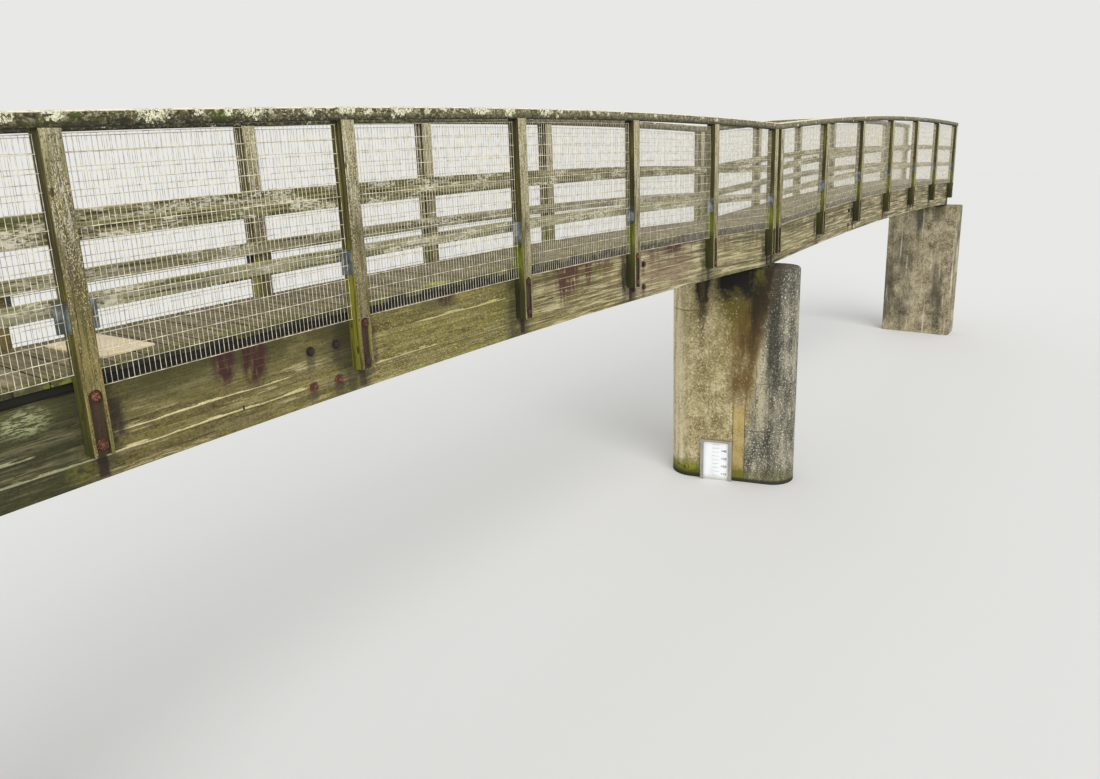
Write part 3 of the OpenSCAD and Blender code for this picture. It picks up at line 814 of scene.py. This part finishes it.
# the flanks stay wet: algae from yellow-green to nearly black
bloom = patches(at, (14, 14, 3.2), 0.4, 0.6, 7, 0.68)
bloom = put("ADD", bloom, (luck, 0, 1, -0.25, 0.25))
[dark_slime] = by_place(drop, (0, "#3a340a"), (0.6, "#352d06"), (1, "#2a2902"), (1.45, "#1d1e01"))
[bright_slime] = by_place(drop, (0, "#6f6a22"), (0.6, "#6b611a"), (0.85, "#7b7512"), (1.1, "#5f5c0c"),
    (1.45, "#45460a"))
slime = paint(dark_slime,
    (bright_slime, bloom),
    ("#2a2607", (grain, 0.46, 0.36, 0, 0.7)),
    ("#26270a", (x, -5.7, -4.7, 0, 0.6), (drop, 1, 1.3)),
    ("#231c05", patches(at, (60, 60, 2.2), 0.42, 0.54, 4), (drop, 0.84, 0.72, 0, 0.85)),
    ("#727c15", (x, -5.7, -4.7, 0, 0.75), band(drop, 0.93, 1.08, 0.08),
        patches(at, (30, 30, 6), 0.38, 0.52, 5)))
tone = paint(tone,
    (slime, flank),
    ("#8f8b20", flank, band(x, -6.14, -6.03, 0.01), (drop, 0.7, 0.9, 0, 0.8), (grain, 0.36, 0.52, 0.3, 1)),
    # knots, and drying cracks up the face
    ("#3f3c08", flank, patches(at, (45, 45, 1.6), 0.52, 0.6, 4), 0.8),
    ("#2d2110", (put("TexVoronoi", at, Scale=(11, 11, 4.5)), 0.13, 0.08, 0, 0.85)))
crack = patches(at, (75, 75, 1.4), 0.335, 0.31, 2)
tone = paint(tone, ("#211a0b", crack, 0.8))
# in the slot: bare brown wood, run with rust, and darkened as painted shade in the recess
sunk = band(put("ABSOLUTE", y), WIDE + 0.02, WIDE + 0.0865, 0.001)
sunk = put("MULTIPLY", sunk, (facing, 0.8, 0.5))
sunk = put("MULTIPLY", sunk, band(drop, 1.145, 1.5, 0.001))
tone = paint(tone,
    # painted shade: the recess of the slot is darkened
    ("#2a190e", sunk, 0.9),
    ("#452719", sunk, patches(at, (60, 60, 7), 0.5, 0.6), 0.8))
high = put("SUBTRACT", grain, put("MULTIPLY", crack, 0.8))
wire(tone, grain, 0.75, 0.94, 0.0025, high)

post = block("post", (-POST / 2, -POST / 2, 0), (POST / 2, POST / 2, DROP_POST - DROP_RAIL))
# the routing tool: a disc drawn out downwards past the foot; the slot's radius, its depth and
# how far its top lies below the handrail top
SLOT_R, SLOT_DEEP, DROP_SLOT = 0.028, 0.014, 1.152
SLOT_Z = DROP_POST - DROP_SLOT - SLOT_R
slot_tool = primitive("cylinder", "slot_tool", vertices=32, radius=SLOT_R, depth=2 * SLOT_DEEP,
    location=(0, -POST / 2, SLOT_Z), rotation=(pi / 2, 0, 0))
edit(slot_tool, "VERT", lambda co: co.z < SLOT_Z - 0.0001)
bpy.ops.transform.translate(value=(0, 0, -0.3))
done()
modify(post, "BOOLEAN", operation="DIFFERENCE", object=slot_tool)
modify(post, "BEVEL", width=0.004, segments=2, limit_method="ANGLE", angle_limit=radians(50))
smooth(post, 40)
gone(slot_tool)
post_bolt = hex_bolt("post_bolt", 0.036, 0.018, 0.0265, 0.004)
inner_nut = hex_bolt("inner_nut", 0.036, 0.018, 0.028, 0.004, 0.01)
for side, face, word in FACES:
    posts, bolts = [], []
    for i in range(POSTS):
        x = side * (FIRST + BAY * i)
        posts.append(twin(post, "p", spot(x, face * POST_Y, DROP_POST, -face)))
        for drop in POST_BOLTS:
            bolts += [twin(post_bolt, "b", spot(x, face * (WIDE + POST - SLOT_DEEP), drop, -face)),
                twin(inner_nut, "b", spot(x, face * INNER, drop, face))]
    dress(joined(word + "_slotted_posts", posts), post_wood, "post_timber", word + "_posts")
    dress(joined(word + "_post_bolts", bolts), rust, "galvanised_steel")
gone(post, post_bolt, inner_nut)


# --------
# Handrails: 90 x 70 mm softwood bent over the post tops, arrises rounded for
# the hand. The top is bleached, its arris partly a painted highlight; the sides are
# nearly black, hung with pale lichen, and painted in shade at their foot and
# underneath.
rail_wood, at = material("lichened_handrail_softwood")
x, y, drop, flat = camber_drop(at)
grain = put("TexNoise", flat, Scale=(5, 90, 110), Detail=6, Roughness=0.68)
mottle = put("TexNoise", at, Scale=30, Detail=6, Roughness=0.75)
both = put("ADD", put("MULTIPLY", grain, 0.5), mottle)
deep, pale = by_place(x, (-9.2, "#1d1a06", "#6b6238"), (-6.8, "#231f09", "#6f6842"),
    (-5.6, "#3c361b", "#88825d"), (-2, "#454029", "#928c6e"), (9.2, "#45412f", "#918c74"))
tone = paint(deep,
    (pale, (both, 0.66, 0.92)),
    ("#414c12", patches(flat, (4, 8, 12), 0.54, 0.62, 5), (x, -6.4, -6.9, 0.2, 0.9)))
# bleached top and arris, with dark drying cracks; the lower half of the sides and the underside are
# darkened as painted shade
up_by = put("SeparateXYZ", put("TexCoord", out=1), out=2)
tone = paint(tone,
    ("#cdc5a4", (up_by, 0.25, 0.75, 0, 0.85), patches(flat, (4, 40, 60), 0.36, 0.54, 5)),
    ("#2a2412", patches(flat, (1.6, 70, 90), 0.37, 0.33, 3), 0.8),
    # painted shade: darker towards the foot of the sides, and black underneath
    ("#1c190a", (drop, 0.036, 0.064, 0, 0.8)),
    ("#0b0904", (up_by, -0.4, -0.8, 0, 0.95)))
# lichen: rosettes of 15 to 50 mm over the upper arris, dust-fine crust between them
wobble = put("TexNoise", at, Scale=55, Detail=5, Roughness=0.75)
near_top = put("MapRange", drop, 0, 0.055, 0.17, 0.02)
cells = put("TexVoronoi", flat, Scale=(6.5, 9, 9))
cells = put("ADD", cells, (wobble, 0.3, 0.7, -0.16, 0.16))
cells = put("SUBTRACT", cells, near_top)
rosette = put("MapRange", cells, 0.115, 0.075)
ragged = put("MapRange", wobble, 0.35, 0.65, -0.45, 0.45)
grown = [(-8.62, 0.05, 0.03), (-8.3, 0.07, 0.04), (-7.752, 0.04, 0.03), (-7.557, 0.045, 0.03),
    (-7.157, 0.085, 0.045), (-6.939, 0.03, 0.02), (-6.785, 0.03, 0.025), (-6.648, 0.075, 0.04),
    (-6.32, 0.04, 0.03), (-6.114, 0.03, 0.02), (-5.7, 0.07, 0.035), (-5.48, 0.03, 0.03),
    (-5.32, 0.03, 0.02), (-4.99, 0.12, 0.03), (-4.71, 0.07, 0.04), (-4.32, 0.085, 0.04),
    (-4.14, 0.03, 0.02), (-3.75, 0.03, 0.025), (-3.3, 0.03, 0.02)]
for centre, long, tall in grown:
    patch = blot(flat, (centre, -POST_Y - 0.035, 0.018), (long, 0.03, tall), ragged, 0.15)
    rosette = put("MAXIMUM", rosette, patch)
rosette = put("MULTIPLY", rosette, patches(at, (70, 70, 70), 0.42, 0.47, 3))
crumbs = patches(at, (55, 70, 70), 0.545, 0.585, 5, 0.74)
crumbs = put("MULTIPLY", crumbs, (drop, 0.006, 0.05, 1, 0.25))
tone = paint(tone, ("#ddd6b6", crumbs, (x, -5.5, -4, 1, 0.7), (x, -7.4, -6.4, 0.45, 1)))
crust = put("TexNoise", at, Scale=150, Detail=4, Roughness=0.7)
lichen_tone = put("ValToRGB", crust, stops=[(0.38, "#85885a"), (0.47, "#cccca4"), (0.56, "#f1efd8")])
tone = paint(tone,
    # a thin bright line along the top arris: bleached wood and lichen, partly a painted highlight
    ("#efe6c6", (drop, 0.01, 0.006), patches(at, (30, 60, 60), 0.32, 0.44, 5), 0.95),
    (lichen_tone, rosette, 0.95))
high = put("ADD", grain, put("MULTIPLY", rosette, crust))
wire(tone, grain, 0.78, 0.95, 0.003, high)
RAIL_W, RAIL_H = 0.09, 0.07
for side, face, word in FACES:
    rail = bent(word + "_bent_handrail", side, face * POST_Y, RAIL_W, 0.0004, RAIL_H, 0.01, 60)
    dress(rail, rail_wood, "rail_timber", word + "_handrail")


# --------
# Middle rails: two planed boards a side, screwed to the walkway face of the
# posts. Mossy along the top edge, with grey-white lichen on the face.
slat_wood, at = material("weathered_rail_softwood")
x, y, drop, flat = camber_drop(at)
grain = put("TexNoise", flat, Scale=(2.5, 60, 110), Detail=6, Roughness=0.68)
tone = put("ValToRGB", grain, stops=[(0.38, "#1f1a05"), (0.47, "#595230"), (0.59, "#979069")])
tone = paint(tone,
    ("#4c5216", patches(flat, (2.5, 8, 14), 0.5, 0.6, 6), 0.7),
    ("#d6d2bb", patches(flat, (3, 12, 14), 0.5, 0.56, 7, 0.72), patches(flat, (40, 60, 90), 0.42, 0.54),
        0.9),
    # the lower rail is the more bleached of the two
    ("#aba78c", (drop, 0.6, 0.7, 0, 0.5), patches(flat, (2, 20, 50), 0.4, 0.56, 5)),
    ("#b5b060", (put("SeparateXYZ", put("TexCoord", out=1), out=2), 0.25, 0.7, 0, 0.9),
        patches(flat, (5, 30, 30), 0.36, 0.52, 5)),
    ("#1f1b0b", patches(flat, (2, 60, 75), 0.37, 0.33, 3), 0.8))
wire(tone, grain, 0.78, 0.95, 0.002)
# how thick and tall they are, and how far their tops lie below the handrail's
SLAT_T, SLAT_H, SLAT_DROPS = 0.028, 0.075, (0.455, 0.755)
for side, face, word in FACES:
    slats, screws = [], []
    for top in SLAT_DROPS:
        slats.append(bent("slat", side, face * (WIDE - SLAT_T / 2), SLAT_T, top, top + SLAT_H, 0.003, 40,
                FIRST - POST / 2, FIRST + (POSTS - 1) * BAY + POST / 2))
        for i in range(POSTS):
            x = FIRST + BAY * i
            for dx, down in ((-0.012, 0.02), (0.012, 0.055)):
                place = Matrix.Translation((side * x + dx, face * (WIDE - SLAT_T), curve_z(x, top + down)))
                screws.append(twin(screw, "s", place @ Matrix.Rotation(face * pi / 2, 4, "X")))
    dress(joined(word + "_bent_midrails", slats), slat_wood, "rail_timber", word + "_midrails")
    dress(joined(word + "_midrail_screws", screws), zinc, "galvanised_steel")


# --------
# Mesh: panels of welded wire, 76 x 25 mm openings, 4 mm line wires outside and
# 3.2 mm upright wires behind them. Galvanised, dull white with oxide.
wire_zinc = plain("oxidised_galvanised_wire", 25, 3,
    [(0.36, "#a8a08a"), (0.5, "#d0c8af"), (0.64, "#ebe2cb")], 0.45, 0.7, 0.0003, Metallic=0.15)
# rows of openings, uprights, a row's height, and both wires' radii
ROWS, UPRIGHTS, ROW, LINE_R, UPRIGHT_R = 14, 57, 0.0758571, 0.0019, 0.0014
# how far the lowest wire lies below the handrail top, and the joint between post and mesh
NET_DROP, NET_GAP = 1.1525, 0.005


def strung(kind, count, step, **words):
    """Parallel wires: one is drawn and repeated."""
    one = primitive("cylinder", kind, vertices=8, **words)
    modify(one, "ARRAY", count=count, use_relative_offset=False, use_constant_offset=True,
        constant_offset_displace=step)
    return one


for side, face, word in FACES:
    panels = []
    for i in range(POSTS - 1):
        # the last panel on the left of the front is one row shorter
        rows = ROWS - 1 if (word, i) == ("left_front", POSTS - 2) else ROWS
        x_a = FIRST + BAY * i + POST / 2 + NET_GAP
        x_b = FIRST + BAY * (i + 1) - POST / 2 - NET_GAP
        z_a, z_b = curve_z(x_a, 0), curve_z(x_b, 0)
        low = NET_DROP - (ROWS - rows) * ROW
        tilt = atan2(z_a - z_b, x_b - x_a)
        step = (x_b - x_a - 0.0032) / (UPRIGHTS - 1)
        middle = (side * (x_a + x_b) / 2, face * (POST_Y + 0.0005), (z_a + z_b) / 2 - low)
        first = (side * (x_a + 0.0016), face * (POST_Y - 0.003), z_a - low + rows * ROW / 2)
        panels += [
            strung("line", rows + 1, (0, 0, ROW), radius=LINE_R, depth=hypot(x_b - x_a, z_b - z_a),
                rotation=(0, pi / 2 + tilt * side, 0), location=middle),
            strung("upright", UPRIGHTS, (side * step, 0, (z_b - z_a) * step / (x_b - x_a)),
                radius=UPRIGHT_R, depth=rows * ROW + 0.004, location=first)]
    net = joined(word + "_welded_mesh", panels)
    smooth(net, 50)
    dress(net, wire_zinc, "galvanised_wire", word + "_mesh")


# --------
# Brackets: angles folded from 4 mm galvanised sheet, one leg screwed to the post
# flank and one behind the mesh, two screws in each leg.
# an angle's leg, height and thickness, and how far its top lies below the handrail top
LEG, TALL, PLATE_T, DROP_ANGLE = 0.042, 0.14, 0.004, 0.76
angle = primitive("plane", "angle", (LEG, TALL, 1), size=1, rotation=(pi / 2, 0, 0),
    location=(LEG / 2, 0, TALL / 2))
edit(angle, "EDGE", lambda a, b: max(a.x, b.x) < 0.001)
bpy.ops.mesh.extrude_region_move(TRANSFORM_OT_translate={"value": (0, -LEG, 0)})
done()
ease(angle, 0.005, 3, lambda a, b: max(a.x, b.x, abs(a.y), abs(b.y)) < 0.001)
edit(angle, "FACE")
bpy.ops.mesh.normals_make_consistent(inside=False)
done()
modify(angle, "SOLIDIFY", thickness=PLATE_T, offset=0)
modify(angle, "BEVEL", width=0.0008, segments=1, limit_method="ANGLE", angle_limit=radians(60))
smooth(angle, 30)
for side, face, word in FACES:
    parts, screws = [], []
    for i in range(POSTS - 1):
        for post_at, way in ((i, 1), (i + 1, -1)):
            x = FIRST + BAY * post_at
            foot = (side * (x + way * (POST / 2 + PLATE_T / 2)), face * (POST_Y - 0.0045),
                curve_z(x, 0) - DROP_ANGLE - TALL)
            stand = Matrix.Translation(foot) @ Matrix.Diagonal((side * way, -face, 1, 1))
            parts.append(twin(angle, "a", stand))
            for up in (0.022, 0.118):
                for place, turn, axis in (((0.002, -0.028, up), 1, "Y"), ((0.029, 0.002, up), -1, "X")):
                    screws.append(twin(screw, "s", stand @ Matrix.Translation(place)
                            @ Matrix.Rotation(turn * pi / 2, 4, axis)))
    dress(joined(word + "_folded_brackets", parts), zinc, "galvanised_steel", word + "_brackets")
    dress(joined(word + "_bracket_screws", screws), zinc, "galvanised_steel")
gone(angle, screw)


# --------
# Water gauge: a white coated aluminium plate with fine lines every 5 cm and
# plain numbers, held in a frame of extruded aluminium channel.
# extruded aluminium, weathered: satin grey, finely streaked lengthwise
alu = plain("weathered_aluminium_extrusion", (300, 300, 8), 3, [(0.35, "#9a978c"), (0.65, "#c2c0b8")], 0.35,
    0.55, 0.0002, Metallic=0.9)
# a coated plate: white with a low gloss, soiled at its foot
enamel, at = material("white_coated_plate")
film = put("TexNoise", at, Scale=(8, 8, 3), Detail=5)
tone = put("ValToRGB", film, stops=[(0.35, "#e3e5e8"), (0.6, "#f1f2f4")])
tone = paint(tone, ("#8d8a6a", (put("SeparateXYZ", at, out=2), 0, 0.06, 0.6, 0)))
wire(tone, film, 0.3, 0.5, 0.0002)
# marking paint: flat dark grey
ink = plain("gauge_marking_paint", 150, 2, [(0.3, "#2b2c2e"), (0.7, "#5a5c5e")], 0.5, 0.7, 0.0001)

# the gauge's width, height and place along the pier's face, and a channel's width and wall
GAUGE_W, GAUGE_H, GAUGE_Y, BAR_W, WALL = 0.385, 0.515, 0.145, 0.042, 0.004
# how far out of the pier's middle: the face, the plate's front, the channels' front
FACE_X, PLATE_X, BAR_X = -0.285, -0.3, -0.325
plate = block("gauge_plate", (PLATE_X, GAUGE_Y - GAUGE_W / 2 + 0.02, 0),
    (FACE_X, GAUGE_Y + GAUGE_W / 2 - 0.02, GAUGE_H - 0.008))
ease(plate, 0.001)
plate.data.transform(skewed)
dress(plate, enamel, "gauge_plate", "gauge_board")
bars = []
for way in (-1, 1):
    y = GAUGE_Y + way * (GAUGE_W - BAR_W) / 2
    bar = block("bar", (BAR_X, y - BAR_W / 2, 0), (FACE_X, y + BAR_W / 2, GAUGE_H))
    # a channel, open towards the plate
    edit(bar, "FACE", lambda co, n: n.y * way < -0.9)
    bpy.ops.mesh.inset(thickness=WALL)
    bpy.ops.transform.translate(value=(0, way * (BAR_W - 2 * WALL), 0))
    done()
    bars.append(bar)
bars.append(block("bar", (BAR_X, GAUGE_Y - GAUGE_W / 2 + BAR_W, GAUGE_H - 0.028),
        (PLATE_X, GAUGE_Y + GAUGE_W / 2 - BAR_W, GAUGE_H)))
for bar in bars:
    modify(bar, "BEVEL", width=0.001, segments=1, limit_method="ANGLE", angle_limit=radians(60))
frame_bars = joined("gauge_channels", bars)
frame_bars.data.transform(skewed)
smooth(frame_bars, 30)
dress(frame_bars, alu, "gauge_plate")
marks = [block("mark", (-0.3008, GAUGE_Y - 0.036, level), (-0.2995, GAUGE_Y + 0.05, level + 0.002))
    for level in [0.055 + 0.05 * k for k in range(9)]]
for k, figures in enumerate(("+10", "+20", "+30", "+40")):
    bpy.ops.object.select_all(action="DESELECT")
    bpy.ops.object.text_add()
    text = bpy.context.object.data
    text.body, text.size, text.offset, text.extrude = figures, 0.044, 0.0008, 0.0004
    text.align_x, text.resolution_u = "CENTER", 3
    bpy.ops.object.convert(target="MESH")
    number = bpy.context.object
    number.data.transform(Matrix.Translation((-0.3004, GAUGE_Y - 0.093, 0.062 + 0.1 * k))
        @ Matrix.Rotation(-pi / 2, 4, "Z") @ Matrix.Rotation(pi / 2, 4, "X"))
    marks.append(number)
scale_marks = joined("gauge_marks", marks)
scale_marks.data.transform(skewed)
dress(scale_marks, ink, "gauge_plate")


# --------
# Studio: plain pale floor at the foot of the pier, pale surround, one broad soft key and
# an even sky. The camera stands where the photograph was taken from.
floor = primitive("plane", "studio_floor", size=160, location=(0, 0, -0.002))
paper, _ = material("studio_paper", Base_Color="#e2e2e0", Roughness=1, Specular_IOR_Level=0)
floor.data.materials.append(paper)

# the sky that lights the bridge is plain white; the one the camera sees is a pale grey
world = bpy.data.worlds.new("studio")
bpy.context.scene.world = world
world.use_nodes = True
tree = world.node_tree
sky = tree.nodes["Background"]
fill(sky.inputs["Color"], "#ffffff")
fill(sky.inputs["Strength"], 0.72)
seen = put("LightPath")
for ray in ("Is Glossy Ray", "Is Transmission Ray"):
    seen = put("MAXIMUM", seen, tree.nodes["Light Path"].outputs[ray])
fill(tree.nodes["World Output"].inputs[0], put("MixShader", seen, sky.outputs[0],
        put("Background", "#e8e8e6", 1)))

bpy.ops.object.light_add(type="SUN", location=(-8, -8, 12))
key = bpy.context.object
key.name = "soft_key"
key.data.energy = 2
key.data.angle = radians(50)
key.rotation_euler = (radians(58), 0, radians(-38))

# where the camera stands, its turn, tilt and roll, and its focal length and shift in widths
# of the picture
STAND = (-9.1391, -4.1184, 4.1058)
YAW, DOWN, ROLL, PIXELS = 0.9302, 0.2424, -0.0322, 1100
FOCAL, SHIFT = 830.64 / PIXELS, (-6.575 / PIXELS, -41.96 / PIXELS)
ahead = Vector((sin(YAW) * cos(DOWN), cos(YAW) * cos(DOWN), -sin(DOWN)))
level_right = Vector((cos(YAW), -sin(YAW), 0))
level_up = level_right.cross(ahead)
right = level_right * cos(ROLL) + level_up * sin(ROLL)
up = level_up * cos(ROLL) - level_right * sin(ROLL)
lens = bpy.data.cameras.new("near_bank_camera")
lens.sensor_fit = "HORIZONTAL"
lens.sensor_width = 36
lens.lens = FOCAL * lens.sensor_width
lens.shift_x, lens.shift_y = SHIFT
lens.clip_end = 500
camera = bpy.data.objects.new("near_bank_camera", lens)
bpy.context.collection.objects.link(camera)
camera.matrix_world = Matrix.Translation(STAND) @ Matrix((right, up, -ahead)).transposed().to_4x4()
bpy.context.scene.camera = camera
bpy.context.scene.view_settings.view_transform = "Standard"
